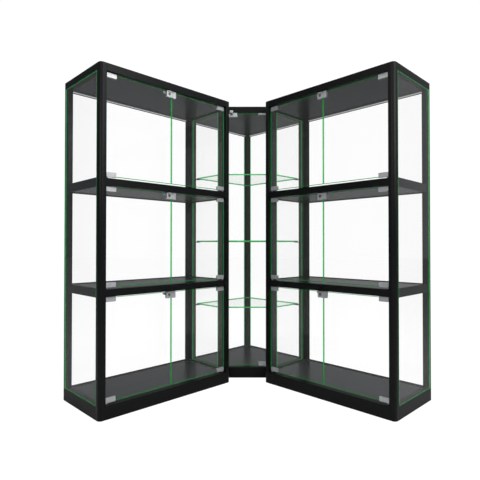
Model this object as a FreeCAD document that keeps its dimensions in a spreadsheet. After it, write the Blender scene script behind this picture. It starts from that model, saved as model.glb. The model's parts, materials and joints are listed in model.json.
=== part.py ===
import FreeCAD, Part
import math
import os
import re

import Sketcher

# Corner showcase set: two straight glass cabinets standing at a right angle, with a five-sided
# corner cabinet between them. Every size is in millimetres. +Z is up and the fronts face -Y.

# Driving sizes. Each is a cell of the sheet "sizes", under its own alias.
SIZES = {
    # straight cabinet
    "cab_width": 980,
    "cab_depth": 480,
    "cab_height": 2000,
    "floor_gap": 3,  # plinth to floor; the feet fill it
    "plinth_height": 80,
    "rail_height": 42,
    "low_shelf_z": 686,  # underside of the lower framed shelf
    "high_shelf_z": 1311,  # underside of the upper framed shelf
    "tube_wall": 2,
    "front_post": 40,
    "post_round": 22,
    "rear_post": 32,
    "rear_lip": 10,  # part of the rear post that shows behind the end pane
    "back_rail": 26,
    "cap_height": 2,
    "deck_board": 18,
    "base_board": 16,
    "soffit_board": 6,
    "roof_board": 8,
    "roof_drop": 2,
    "pane_glass": 5,
    "pane_reveal": 1,  # end pane set in from the outer face of its posts
    # glass leaves and their pivots
    "leaf_glass": 5,
    "door_setback": 20,
    "side_gap": 3,
    "meet_gap": 3,
    "leaf_head_gap": 5,
    "leaf_foot_gap": 11,
    "pivot_inset": 12,
    "clip_length": 60,
    "clip_height": 28,
    "clip_plate": 4,
    "clip_web": 2.5,
    "clip_inset": 5,
    "pin_radius": 3,
    "pin_reach": 6,  # how far a pin enters its rail
    "collar_radius": 5,
    "collar_clear": 0.4,
    "run_clear": 0.05,
    "bush_radius": 5,
    "bush_flange_radius": 8,
    "bush_flange": 1,
    "bush_tail": 4,
    # locks
    "lock_height": 43,
    "lock_body": 40,
    "keeper_length": 28,
    "lock_rise": 3.5,  # lock top above the glass edge
    "lock_seam": 1,
    "lock_proud": 7,
    "lock_back": 3,
    "hood_length": 26,
    "hood_height": 9,
    "hood_proud": 7,
    "corner_hood_proud": 14,
    "corner_hood_rise": 14,
    "corner_hood_face": 8,
    "plug_radius": 9,
    "plug_inset": 20,
    "plug_drop": 21.5,  # plug centre below the top of the lock case
    "plug_proud": 1,
    "plug_hole_clear": 1,  # between the plug and the hole in the glass
    "keyway_length": 9,
    "keyway_width": 2,
    "keyway_depth": 3,
    "cam_clear": 0.6,
    "cam_plate": 3,
    "cam_width": 14,
    "cam_reach": 38,
    "cam_lift": 17,  # degrees above level when unlocked
    "slot_margin": 1.5,
    # corner cabinet
    "module_gap": 3,
    "corner_wall": 650,
    "corner_short": 345,
    "corner_post": 37,
    "corner_setback": 12,
    "corner_jamb": 65.67,  # front face beside the door opening
    "corner_clip_height": 12,
    "corner_lock_length": 68,
    "corner_lock_height": 30.5,
    "corner_plug_inset": 29,
    "corner_plug_drop": 11.5,
    "glass_shelf": 8,
    "shelf_gap": 4,
    "shelf_front_gap": 42,
    "shelf_one_z": 508,
    "shelf_two_z": 1002,
    "shelf_three_z": 1500,
    "bracket_long": 36,
    "bracket_deep": 24,
    "bracket_thick": 6,
    # feet and distance pieces
    "foot_radius": 22,
    "foot_pad": 9,
    "foot_stem_radius": 5,
    "foot_plate_radius": 20,
    "foot_plate": 4,
    "foot_inset": 75,
    "corner_foot_reach": 150,
    "spacer_radius": 10,
    "spacer_inset": 60,
}

# Sizes that follow from the driving sizes.
DERIVED = {
    "inner_width": "cab_width - 2 * front_post",
    "head_z": "cab_height - rail_height",
    "pane_height": "head_z - plinth_height",
    "shell_height": "cab_height - cap_height - floor_gap",
    "leaf_width": "(inner_width - 2 * side_gap - meet_gap) / 2",
    "pivot_y": "door_setback + leaf_glass / 2",
    "pivot_rail_x": "side_gap + pivot_inset",
    "pane_seat": "pane_reveal + pane_glass",
    "post_seat": "pane_seat + rear_post",
    "rear_post_y": "cab_depth - rear_post",
    "back_pane_y": "cab_depth - rear_post + back_rail",
    "foot_height": "plinth_height - base_board",
    "cut": "corner_post / sqrt(2)",
    "corner_pivot_y": "corner_setback + leaf_glass / 2",
    "corner_opening": "(corner_wall - corner_short) / sqrt(2) - corner_jamb",
    "corner_leaf": "2 * (corner_opening - side_gap)",
    "plug_to_rail": "leaf_head_gap - lock_rise + plug_drop",
    "corner_plug_to_rail": "leaf_head_gap - lock_rise + corner_plug_drop",
    "cam_tip_squared": "cam_reach ^ 2 + cam_width ^ 2 / 4",
    "slot_reach": "sqrt(cam_tip_squared - plug_to_rail ^ 2) + slot_margin",
    "corner_slot_reach": "sqrt(cam_tip_squared - corner_plug_to_rail ^ 2) + slot_margin",
    "shelf_inset": "corner_post + shelf_gap",
    # plan of the whole set
    "set_run": "(corner_wall + module_gap + cab_width + cab_depth) / sqrt(2)",
    "apex_y": "(set_run - post_round * (sqrt(2) - 1)) / 2",
    "front_y": "apex_y - (corner_wall + corner_short) / sqrt(2)",
    "front_x": "(corner_wall - corner_short) / sqrt(2)",
    "tip_x": "corner_wall / sqrt(2)",
    "left_x": "(cab_depth - corner_wall - module_gap - cab_width) / sqrt(2)",
    "left_y": "apex_y - set_run",
    "right_x": "(corner_wall + module_gap - cab_depth) / sqrt(2)",
    "right_y": "apex_y - (corner_wall + module_gap + cab_depth) / sqrt(2)",
}

# Where each cabinet's own frame stands in the set: its origin and its turn about +Z in degrees.
FRAMES = {
    "left": ("left_x", "left_y", 45),
    "right": ("right_x", "right_y", -45),
    "corner": ("0", "front_y", 0),
}

# The three door tiers of a straight cabinet: name, clear bottom, clear top.
TIERS = [
    ("lower", "plinth_height", "low_shelf_z"),
    ("middle", "low_shelf_z + rail_height", "high_shelf_z"),
    ("upper", "high_shelf_z + rail_height", "head_z"),
]

SHELVES = ["low_shelf_z", "high_shelf_z"]
GLASS_SHELVES = ["shelf_one_z", "shelf_two_z", "shelf_three_z"]

Z_AXIS = FreeCAD.Vector(0, 0, 1)
ALONG_Y = FreeCAD.Rotation(FreeCAD.Vector(1, 0, 0), -90)
ALONG_X = FreeCAD.Rotation(FreeCAD.Vector(0, 1, 0), 90)
WORD = re.compile(r"[a-z_]+")
NODES = []


def formula(text):
    """Turn a formula in plain size names into one that reads the sheet."""

    def swap(match):
        word = match.group(0)
        if word in DERIVED:
            return "(" + formula(DERIVED[word]) + ")"
        if word in SIZES:
            return "sizes." + word
        return word

    return WORD.sub(swap, str(text))


def bind(thing, **sizes):
    for prop, text in sizes.items():
        thing.setExpression(prop, formula(text))


def move(thing, place, turn=None):
    if turn is not None:
        thing.Placement = FreeCAD.Placement(FreeCAD.Vector(), turn)
    for axis, text in zip("xyz", place):
        thing.setExpression("Placement.Base." + axis, formula(text))
    return thing


def make_sheet(doc):
    sheet = doc.addObject("Spreadsheet::Sheet", "sizes")
    for row, (alias, size) in enumerate(SIZES.items(), start=1):
        sheet.set("A%d" % row, alias.replace("_", " "))
        sheet.set("B%d" % row, str(size))
        sheet.setAlias("B%d" % row, alias)
    doc.recompute()


def block(doc, size, place):
    box = doc.addObject("Part::Box", "block")
    bind(box, Length=size[0], Width=size[1], Height=size[2])
    return move(box, place)


def rod(doc, radius, length, place, turn=None):
    cylinder = doc.addObject("Part::Cylinder", "rod")
    bind(cylinder, Radius=radius, Height=length)
    return move(cylinder, place, turn)


def less(doc, base, *tools):
    """The base with every tool cut away."""
    cut = base
    for tool in tools:
        step = doc.addObject("Part::Cut", "cut")
        step.Base = cut
        step.Tool = tool
        cut = step
    return cut


def joined(doc, *shapes):
    fuse = doc.addObject("Part::MultiFuse", "fuse")
    fuse.Shapes = list(shapes)
    return fuse


def group(doc, name, parts, frame=None):
    """Separate solids kept together, standing in one of the cabinets' frames."""
    held = doc.addObject("Part::Compound", name)
    held.Links = parts
    if frame:
        x, y, degrees = FRAMES[frame]
        move(held, (x, y, "0"), FreeCAD.Rotation(Z_AXIS, degrees))
    return held


def node(doc, name, parts, frame=None):
    held = group(doc, name, parts, frame)
    held.Label = name
    NODES.append(held)
    return held


def origin_plane(body, role):
    return [item for item in body.Origin.OriginFeatures if item.Role == role][0]


def new_body(doc, name):
    return doc.addObject("PartDesign::Body", name)


def new_sketch(body, name, role):
    sketch = body.newObject("Sketcher::SketchObject", name)
    sketch.AttachmentSupport = [(origin_plane(body, role), "")]
    sketch.MapMode = "FlatFace"
    return sketch


def pin_point(sketch, geometry, position, corner):
    """Tie one sketch point to the origin by two bound distances."""
    for kind, text in zip(("DistanceX", "DistanceY"), corner):
        index = sketch.addConstraint(Sketcher.Constraint(kind, -1, 1, geometry, position, 1.0))
        sketch.setExpression("Constraints[%d]" % index, formula(text))


def draw_outline(sketch, corners):
    """Closed outline of straight lines through the given corners."""
    count = len(corners)
    first = sketch.GeometryCount
    ring = [2 * math.pi * step / count for step in range(count + 1)]
    spots = [FreeCAD.Vector(math.cos(turn), math.sin(turn), 0) for turn in ring]
    for step in range(count):
        sketch.addGeometry(Part.LineSegment(spots[step], spots[step + 1]), False)
    for step in range(count):
        after = first + (step + 1) % count
        sketch.addConstraint(Sketcher.Constraint("Coincident", first + step, 2, after, 1))
    for step, corner in enumerate(corners):
        pin_point(sketch, first + step, 1, corner)


def draw_circle(sketch, centre, radius):
    index = sketch.addGeometry(Part.Circle(FreeCAD.Vector(1, 1, 0), Z_AXIS, 1.0), False)
    pin_point(sketch, index, 3, centre)
    size = sketch.addConstraint(Sketcher.Constraint("Radius", index, 1.0))
    sketch.setExpression("Constraints[%d]" % size, formula(radius))


def rectangle(x_low, y_low, x_high, y_high):
    return [(x_low, y_low), (x_high, y_low), (x_high, y_high), (x_low, y_high)]


def extrusion(doc, name, role, outlines, length):
    """Body padded from outlines on an origin plane, always towards the positive axis."""
    body = new_body(doc, name)
    sketch = new_sketch(body, name + "_profile", role)
    for outline in outlines:
        draw_outline(sketch, outline)
    pad = body.newObject("PartDesign::Pad", name + "_pad")
    pad.Profile = sketch
    pad.Reversed = role == "XZ_Plane"
    bind(pad, Length=length)
    return body


def tube(doc, name, along, size, place):
    """Square tube: size is its length and the two sides of its section, in x, y, z order."""
    role = {"x": "YZ_Plane", "y": "XZ_Plane", "z": "XY_Plane"}[along]
    length = dict(zip("xyz", size))[along]
    sides = [text for axis, text in zip("xyz", size) if axis != along]
    outer = rectangle("0", "0", sides[0], sides[1])
    wall = "tube_wall"
    inner = rectangle(wall, wall, sides[0] + " - tube_wall", sides[1] + " - tube_wall")
    return move(extrusion(doc, name, role, [outer, inner], length), place)


def pocket_wall(doc, body, name, level, circles, slots):
    """Cut holes through one wall of a rail, upwards from the given level."""
    sketch = new_sketch(body, name, "XY_Plane")
    sketch.setExpression("AttachmentOffset.Base.z", formula(level))
    for centre, radius in circles:
        draw_circle(sketch, centre, radius)
    for outline in slots:
        draw_outline(sketch, outline)
    pocket = body.newObject("PartDesign::Pocket", name + "_pocket")
    pocket.Profile = sketch
    pocket.Reversed = True
    bind(pocket, Length="tube_wall")
    before = body.Shape.Volume
    doc.recompute()
    if body.Shape.Volume >= before:
        raise RuntimeError(name + " cut nothing")


# --- frame of a straight cabinet ------------------------------------------------------------


def front_post(doc, name, rounded_left, place):
    """Hollow post with one outer corner rounded to the full radius."""
    side = "front_post"
    far = "front_post - tube_wall"
    outer = rectangle("0", "0", side, side)
    if rounded_left:
        corners = [("post_round", "tube_wall"), (far, "tube_wall"), (far, far)]
        corners += [("tube_wall", far), ("tube_wall", "post_round")]
    else:
        near = "front_post - post_round"
        corners = [("tube_wall", "tube_wall"), (near, "tube_wall"), (far, "post_round")]
        corners += [(far, far), ("tube_wall", far)]
    body = extrusion(doc, name, "XY_Plane", [outer, corners], "shell_height")
    doc.recompute()
    round_post_corner(doc, body, 0 if rounded_left else SIZES["front_post"])
    return move(body, place)


def round_post_corner(doc, body, corner_x):
    """Fillet the upright edge that stands at the front, at the given x."""
    pad = body.Tip
    for index, edge in enumerate(pad.Shape.Edges, start=1):
        upright = abs(edge.tangentAt(edge.FirstParameter).z) > 0.99
        centre = edge.CenterOfMass
        if upright and abs(centre.x - corner_x) < 0.1 and abs(centre.y) < 0.1:
            fillet = body.newObject("PartDesign::Fillet", body.Name + "_round")
            fillet.Base = (pad, ["Edge%d" % index])
            bind(fillet, Radius="post_round")
            doc.recompute()
            return
    raise RuntimeError(body.Name + " has no front edge to round")


def post_cap(doc, name, rounded_left, place):
    """Flat cap that closes the top of a front post."""
    side = "front_post"
    body = extrusion(doc, name, "XY_Plane", [rectangle("0", "0", side, side)], "cap_height")
    doc.recompute()
    round_post_corner(doc, body, 0 if rounded_left else SIZES["front_post"])
    return move(body, place)


def make_front_posts(doc, side):
    right_x = "cab_width - front_post"
    posts = [
        front_post(doc, side + "_post_a", True, ("0", "0", "floor_gap")),
        front_post(doc, side + "_post_b", False, (right_x, "0", "floor_gap")),
    ]
    node(doc, side + "_front_posts", posts, side)
    top = "cab_height - cap_height"
    caps = [
        post_cap(doc, side + "_cap_a", True, ("0", "0", top)),
        post_cap(doc, side + "_cap_b", False, (right_x, "0", top)),
    ]
    return group(doc, side + "_post_caps", caps, side)


def rear_post(doc, name, lip_left, place):
    """Hollow post with a lip that covers the rear edge of the end pane."""
    seat = "pane_seat"
    deep = "rear_post"
    step = "rear_post - rear_lip"
    wide = "post_seat"
    inner_low = "pane_seat + tube_wall"
    inner_high = "post_seat - tube_wall"
    if lip_left:
        outer = [("0", step), (seat, step), (seat, "0"), (wide, "0"), (wide, deep), ("0", deep)]
    else:
        outer = [("0", "0"), (deep, "0"), (deep, step), (wide, step), (wide, deep), ("0", deep)]
        inner_low = "tube_wall"
        inner_high = "rear_post - tube_wall"
    inner = rectangle(inner_low, "tube_wall", inner_high, "rear_post - tube_wall")
    return move(extrusion(doc, name, "XY_Plane", [outer, inner], "pane_height"), place)


def make_rear_posts(doc, side):
    posts = [
        rear_post(doc, side + "_rear_a", True, ("0", "rear_post_y", "plinth_height")),
        rear_post(doc, side + "_rear_b", False, ("cab_width - post_seat", "rear_post_y", "plinth_height")),
    ]
    node(doc, side + "_rear_posts", posts, side)


def hinge_holes():
    far = "inner_width - pivot_rail_x"
    return [(("pivot_rail_x", "pivot_y"), "bush_radius"), ((far, "pivot_y"), "bush_radius")]


def cam_slot(centre_x, case_back, reach, reaches_left):
    """Outline of the slot that a turning cam enters."""
    beside = "cam_width / 2 + slot_margin"
    low_y = case_back + " + cam_clear / 2"
    high_y = case_back + " + 3 * cam_clear / 2 + cam_plate"
    if reaches_left:
        return rectangle(centre_x + " - " + reach, low_y, centre_x + " + " + beside, high_y)
    return rectangle(centre_x + " - (" + beside + ")", low_y, centre_x + " + " + reach, high_y)


def front_rail(doc, name, height, level, pierced_below, pierced_above):
    """Front rail of a straight cabinet, with holes for the pivot bushes and the lock cam."""
    rail = tube(doc, name, "x", ("inner_width", "front_post", height), ("front_post", "0", level))
    doc.recompute()
    if pierced_below:
        case_back = "door_setback + leaf_glass + lock_back"
        slot = cam_slot("inner_width / 2 - plug_inset", case_back, "slot_reach", True)
        pocket_wall(doc, rail, name + "_below", "0", hinge_holes(), [slot])
    if pierced_above:
        pocket_wall(doc, rail, name + "_above", height + " - tube_wall", hinge_holes(), [])
    return rail


def ring_of_rails(doc, name, front, height, level):
    """A front rail with the two side rails and the rear rail of the same ring."""
    deep = "cab_depth - front_post"
    post = "front_post"
    far_x = "cab_width - front_post"
    far_y = "cab_depth - front_post"
    return [
        front,
        tube(doc, name + "_side_a", "y", (post, deep, height), ("0", post, level)),
        tube(doc, name + "_side_b", "y", (post, deep, height), (far_x, post, level)),
        tube(doc, name + "_back", "x", ("inner_width", post, height), (post, far_y, level)),
    ]


def make_end_rails(doc, side):
    top = front_rail(doc, side + "_top_front", "rail_height", "head_z", True, False)
    node(doc, side + "_top_rails", ring_of_rails(doc, side + "_top", top, "rail_height", "head_z"), side)
    height = "(plinth_height - floor_gap)"
    low = front_rail(doc, side + "_plinth_front", height, "floor_gap", False, True)
    rails = ring_of_rails(doc, side + "_plinth", low, height, "floor_gap")
    node(doc, side + "_plinth_rails", rails, side)


def make_shelf_rails(doc, side):
    rails = []
    height = "rail_height"
    side_size = ("rear_post", "rear_post_y - front_post", height)
    back_size = ("cab_width - 2 * post_seat", "back_rail", height)
    for number, level in enumerate(SHELVES, start=1):
        name = "%s_shelf_%d" % (side, number)
        rails += [
            front_rail(doc, name + "_front", height, level, True, True),
            tube(doc, name + "_side_a", "y", side_size, ("pane_seat", "front_post", level)),
            tube(doc, name + "_side_b", "y", side_size, ("cab_width - post_seat", "front_post", level)),
            tube(doc, name + "_back", "x", back_size, ("post_seat", "rear_post_y", level)),
        ]
    node(doc, side + "_shelf_rails", rails, side)


def make_boards(doc, side):
    post = "front_post"
    inner_depth = "cab_depth - 2 * front_post"
    roof_z = "cab_height - roof_drop - roof_board"
    boards = [
        block(doc, ("inner_width", inner_depth, "roof_board"), (post, post, roof_z)),
        block(doc, ("inner_width", inner_depth, "soffit_board"), (post, post, "head_z")),
        block(doc, ("inner_width", inner_depth, "base_board"), (post, post, "foot_height")),
    ]
    width = "cab_width - 2 * post_seat"
    depth = "rear_post_y - front_post"
    for level in SHELVES:
        top = level + " + rail_height - deck_board"
        boards.append(block(doc, (width, depth, "deck_board"), ("post_seat", post, top)))
        boards.append(block(doc, (width, depth, "soffit_board"), ("post_seat", post, level)))
    node(doc, side + "_boards", boards, side)


def make_panes(doc, side):
    run = "cab_depth - rear_lip - front_post"
    size = ("pane_glass", run, "pane_height")
    far_x = "cab_width - pane_seat"
    ends = [
        block(doc, size, ("pane_reveal", "front_post", "plinth_height")),
        block(doc, size, (far_x, "front_post", "plinth_height")),
    ]
    node(doc, side + "_end_panes", ends, side)
    width = "cab_width - 2 * post_seat"
    back = block(doc, (width, "pane_glass", "pane_height"), ("post_seat", "back_pane_y", "plinth_height"))
    node(doc, side + "_back_pane", [back], side)


# --- glass leaves, pivots and locks ---------------------------------------------------------


def leaf(name, frame, x, width, y, bottom, top, hinge):
    """Facts of one glass leaf, as formulas in its cabinet's frame."""
    foot = bottom + " + leaf_foot_gap"
    head = top + " - leaf_head_gap"
    return dict(name=name, frame=frame, x=x, width=width, y=y, foot=foot, head=head,
                floor=bottom, ceiling=top, hinge=hinge, head_clip="clip_height", plug_x=None)


def with_lock(item, case_x, case_length, plug_x):
    """Give a leaf its half of a lock; a keeper has no plug."""
    item.update(case_x=case_x, case_length=case_length, plug_x=plug_x)
    item.update(case_height="lock_height", plug_drop="plug_drop", cam_angle="180 + cam_lift")
    return item


def straight_leaves(side):
    """Six leaves: the left one of each pair, as seen from the front, carries the lock."""
    names = {"left": ("outer", "inner"), "right": ("inner", "outer")}[side]
    middle = "cab_width / 2"
    leaves = []
    for tier, bottom, top in TIERS:
        label = "%s_%s_%s_leaf"
        first = leaf(label % (side, tier, names[0]), side, "front_post + side_gap",
                     "leaf_width", "door_setback", bottom, top, "left")
        second = leaf(label % (side, tier, names[1]), side, middle + " + meet_gap / 2",
                      "leaf_width", "door_setback", bottom, top, "right")
        leaves.append(with_lock(first, middle + " - lock_body", "lock_body - lock_seam / 2",
                                middle + " - plug_inset"))
        leaves.append(with_lock(second, middle + " + lock_seam / 2", "keeper_length", None))
    return leaves


def corner_leaf():
    """The single door of the corner cabinet, with its lower lock case and head clip."""
    low_x = "side_gap - corner_opening"
    item = leaf("corner_door", "corner", low_x, "corner_leaf", "corner_setback",
                "plinth_height", "head_z", "right")
    with_lock(item, low_x + " + side_gap", "corner_lock_length", low_x + " + corner_plug_inset")
    item.update(head_clip="corner_clip_height", case_height="corner_lock_height")
    item.update(plug_drop="corner_plug_drop", cam_angle="0")
    return item


def pivot_x(item):
    if item["hinge"] == "left":
        return item["x"] + " + pivot_inset"
    return item["x"] + " + " + item["width"] + " - pivot_inset"


def plug_z(item):
    return item["head"] + " + lock_rise - " + item["plug_drop"]


def make_glass(doc, item):
    height = "(" + item["head"] + ") - (" + item["foot"] + ")"
    pane = block(doc, (item["width"], "leaf_glass", height), (item["x"], item["y"], item["foot"]))
    if item["plug_x"]:
        place = (item["plug_x"], item["y"] + " - 1", plug_z(item))
        hole = rod(doc, "plug_radius + plug_hole_clear", "leaf_glass + 2", place, ALONG_Y)
        pane = less(doc, pane, hole)
    node(doc, item["name"] + "_glass", [pane], item["frame"])


def clip(doc, item, at_head):
    """U-shaped clip that grips the glass edge near the pivot."""
    x = item["x"] + " + clip_inset"
    if item["hinge"] == "right":
        x = item["x"] + " + " + item["width"] + " - clip_inset - clip_length"
    height = item["head_clip"] if at_head else "clip_height"
    outer_z = item["head"] + " + clip_web - " + height if at_head else item["foot"] + " - clip_web"
    slot_z = outer_z if at_head else item["foot"]
    low_y = item["y"] + " - clip_plate"
    outer = block(doc, ("clip_length", "leaf_glass + 2 * clip_plate", height), (x, low_y, outer_z))
    slot = block(doc, ("clip_length", "leaf_glass", height + " - clip_web"), (x, item["y"], slot_z))
    return less(doc, outer, slot)


def pivot_pins(doc, item):
    """Head pin, and foot pin with the collar that carries the leaf's weight."""
    x = pivot_x(item)
    y = item["y"] + " + leaf_glass / 2"
    head_length = "leaf_head_gap - clip_web + pin_reach"
    head = rod(doc, "pin_radius", head_length, (x, y, item["head"] + " + clip_web"))
    foot_length = "leaf_foot_gap - clip_web + pin_reach"
    foot = rod(doc, "pin_radius", foot_length, (x, y, item["floor"] + " - pin_reach"))
    collar_z = item["floor"] + " + bush_flange + collar_clear"
    collar_length = "leaf_foot_gap - clip_web - bush_flange - collar_clear"
    collar = rod(doc, "collar_radius", collar_length, (x, y, collar_z))
    return [head, joined(doc, foot, collar)]


def straight_hood(doc, item):
    """Finger hood on the lock case, above the plug."""
    x = item["plug_x"] + " - hood_length / 2"
    y = item["y"] + " - lock_proud - hood_proud"
    z = plug_z(item) + " + plug_radius + 2"
    return [block(doc, ("hood_length", "hood_proud", "hood_height"), (x, y, z))]


def corner_hood(doc, item):
    """Hood of the corner lock: its face stands up in front of the head rail."""
    x = item["plug_x"] + " - hood_length / 2"
    y = item["y"] + " - lock_proud - corner_hood_proud"
    top = item["head"] + " + lock_rise"
    arm = block(doc, ("hood_length", "corner_hood_proud", "hood_height"), (x, y, top + " - hood_height"))
    face = block(doc, ("hood_length", "corner_hood_face", "corner_hood_rise"), (x, y, top))
    return [arm, face]


def lock_case(doc, item):
    """Case that wraps the head of the leaf: the lock's own half, or its keeper."""
    top = item["head"] + " + lock_rise"
    low_z = top + " - " + item["case_height"]
    thick = "lock_proud + leaf_glass + lock_back"
    size = (item["case_length"], thick, item["case_height"])
    case = block(doc, size, (item["case_x"], item["y"] + " - lock_proud", low_z))
    size = (item["case_length"], "leaf_glass", item["case_height"] + " - lock_rise")
    slot = block(doc, size, (item["case_x"], item["y"], low_z))
    if not item["plug_x"]:
        return less(doc, case, slot)
    hood = corner_hood(doc, item) if item["frame"] == "corner" else straight_hood(doc, item)
    case = joined(doc, case, *hood)
    bore_y = item["y"] + " - lock_proud - corner_hood_proud - 1"
    bore_length = thick + " + corner_hood_proud + 2"
    bore = rod(doc, "plug_radius + run_clear", bore_length, (item["plug_x"], bore_y, plug_z(item)), ALONG_Y)
    return less(doc, case, slot, bore)


def make_fittings(doc, item):
    parts = [clip(doc, item, True), clip(doc, item, False)]
    parts += pivot_pins(doc, item)
    parts.append(lock_case(doc, item))
    node(doc, item["name"] + "_fittings", parts, item["frame"])


def make_cam(doc, item):
    """Plug with its keyway, and the cam that it turns behind the glass."""
    front_y = item["y"] + " - lock_proud - plug_proud"
    length = "plug_proud + lock_proud + leaf_glass + lock_back + cam_clear"
    plug = rod(doc, "plug_radius", length, (item["plug_x"], front_y, plug_z(item)), ALONG_Y)
    keyway = block(doc, ("keyway_width", "keyway_depth", "keyway_length"),
                   (item["plug_x"] + " - keyway_width / 2", front_y, plug_z(item) + " - keyway_length / 2"))
    plug = less(doc, plug, keyway)
    arm = block(doc, ("cam_reach", "cam_plate", "cam_width"), ("0", "0", "-cam_width / 2"))
    hub = rod(doc, "cam_width / 2", "cam_plate", ("0", "0", "0"), ALONG_Y)
    blade = group(doc, item["name"] + "_blade", [joined(doc, arm, hub)])
    place = (item["plug_x"], item["y"] + " + leaf_glass + lock_back + cam_clear", plug_z(item))
    move(blade, place, FreeCAD.Rotation(FreeCAD.Vector(0, 1, 0), 1))
    blade.setExpression("Placement.Rotation.Angle", formula(item["cam_angle"]))
    node(doc, item["name"].replace("_leaf", "") + "_lock_cam", [plug, blade], item["frame"])


def bush(doc, x, y, level, flange_above):
    """Flanged bush pressed into a rail's wall, its flange towards the leaf."""
    tail = "bush_flange + bush_tail"
    low_z = level + " - bush_tail" if flange_above else level + " - bush_flange"
    flange_z = level if flange_above else level + " - bush_flange"
    sleeve = rod(doc, "bush_radius", tail, (x, y, low_z))
    flange = rod(doc, "bush_flange_radius", "bush_flange", (x, y, flange_z))
    bore = rod(doc, "pin_radius + run_clear", tail + " + 2", (x, y, low_z + " - 1"))
    return less(doc, joined(doc, sleeve, flange), bore)


def make_bushes(doc, leaves):
    """All the pivot bushes, two for each leaf, in one node."""
    groups = []
    for frame in FRAMES:
        rings = []
        for item in leaves:
            if item["frame"] == frame:
                y = item["y"] + " + leaf_glass / 2"
                rings.append(bush(doc, pivot_x(item), y, item["floor"], True))
                rings.append(bush(doc, pivot_x(item), y, item["ceiling"], False))
        groups.append(group(doc, frame + "_bushes", rings, frame))
    node(doc, "pivot_bushes", groups)


# --- corner cabinet -------------------------------------------------------------------------


def wing_x(side, start, length):
    """x of a piece that starts a distance from the corner cabinet's end face."""
    if side == "left":
        return "cab_width + module_gap + " + start
    return "0 - module_gap - " + start + " - " + length


def wing_block(doc, side, along, start, length, y, depth, z, height):
    """Solid block, or a tube along x, y or z, in the straight cabinet's frame of that side."""
    place = (wing_x(side, start, length), y, z)
    if along == "solid":
        return block(doc, (length, depth, height), place)
    name = "corner_%s_tube" % side
    return tube(doc, name, along, (length, depth, height), place)


def corner_front_post(doc, name, mirror):
    """Post beside the corner door: its outer face follows the 45 degree end of the cabinet."""
    sign = "" if mirror else "-"
    shape = [
        (sign + "corner_opening", "0"),
        (sign + "front_x", "0"),
        (sign + "(front_x - cut)", "cut"),
        (sign + "corner_opening", "cut"),
    ]
    body = extrusion(doc, name, "XY_Plane", [shape], "cab_height - floor_gap")
    return move(body, ("0", "0", "floor_gap"))


def make_corner_posts(doc):
    post = "corner_post"
    height = "cab_height - floor_gap"
    front = [corner_front_post(doc, "corner_front_a", False), corner_front_post(doc, "corner_front_b", True)]
    groups = [group(doc, "corner_front_pair", front, "corner")]
    for side in ("left", "right"):
        tip = wing_block(doc, side, "z", "0", post, "cab_depth - corner_post", post, "floor_gap", height)
        parts = [tip]
        if side == "left":
            start = "corner_wall - corner_post"
            parts.append(wing_block(doc, side, "z", start, post, "cab_depth - corner_post", post,
                                    "floor_gap", height))
        groups.append(group(doc, "corner_%s_posts" % side, parts, side))
    node(doc, "corner_posts", groups)


def corner_wing_rails(doc, side, height, level):
    """Short-side rail and wall rail of one wing of the corner cabinet."""
    post = "corner_post"
    short_y = "cab_depth - corner_short"
    short_run = "corner_short - corner_post"
    wall_run = "(corner_wall - 2 * corner_post)"
    wall_y = "cab_depth - corner_post"
    return [
        wing_block(doc, side, "y", "0", post, short_y, short_run, level, height),
        wing_block(doc, side, "x", "corner_post", wall_run, wall_y, post, level, height),
    ]


def corner_front_rail(doc, name, height, level):
    return tube(doc, name, "x", ("2 * corner_opening", "cut", height), ("0 - corner_opening", "0", level))


def corner_hinge_hole():
    return (("2 * corner_opening - side_gap - pivot_inset", "corner_pivot_y"), "bush_radius")


def corner_rails(doc, name, front, height, level):
    groups = [group(doc, name + "_front_group", [front], "corner")]
    for side in ("left", "right"):
        rails = corner_wing_rails(doc, side, height, level)
        groups.append(group(doc, name + "_" + side, rails, side))
    node(doc, name, groups)


def make_corner_rails(doc):
    head = corner_front_rail(doc, "corner_head", "rail_height", "head_z")
    doc.recompute()
    case_back = "corner_setback + leaf_glass + lock_back"
    slot = cam_slot("side_gap + corner_plug_inset", case_back, "corner_slot_reach", False)
    pocket_wall(doc, head, "corner_head_below", "0", [corner_hinge_hole()], [slot])
    corner_rails(doc, "corner_top_rails", head, "rail_height", "head_z")
    height = "(plinth_height - floor_gap)"
    plinth = corner_front_rail(doc, "corner_plinth", height, "floor_gap")
    doc.recompute()
    pocket_wall(doc, plinth, "corner_plinth_above", height + " - tube_wall", [corner_hinge_hole()], [])
    corner_rails(doc, "corner_plinth_rails", plinth, height, "floor_gap")


def pentagon(doc, name, inset, front_gap, thickness, level):
    """Five-sided board or shelf, set in from the outer faces of the corner cabinet."""
    tip = "(tip_x - (%s) * sqrt(2))" % inset
    tip_y = "apex_y - tip_x"
    front = "(front_x + %s - (%s) * sqrt(2))" % (front_gap, inset)
    line = "front_y + " + front_gap
    corners = [
        ("-" + front, line),
        (front, line),
        (tip, tip_y),
        ("0", "apex_y - (%s) * sqrt(2)" % inset),
        ("-" + tip, tip_y),
    ]
    return move(extrusion(doc, name, "XY_Plane", [corners], thickness), ("0", "0", level))


def make_corner_boards(doc):
    inset = "corner_post"
    roof_z = "cab_height - roof_drop - roof_board"
    boards = [
        pentagon(doc, "corner_roof", inset, "cut", "roof_board", roof_z),
        pentagon(doc, "corner_soffit", inset, "cut", "soffit_board", "head_z"),
        pentagon(doc, "corner_base", inset, "cut", "base_board", "foot_height"),
    ]
    node(doc, "corner_boards", boards)


def make_glass_shelves(doc):
    shelves = []
    for number, level in enumerate(GLASS_SHELVES, start=1):
        name = "corner_shelf_%d" % number
        shelves.append(pentagon(doc, name, "shelf_inset", "shelf_front_gap", "glass_shelf", level))
    node(doc, "corner_glass_shelves", shelves)


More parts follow.
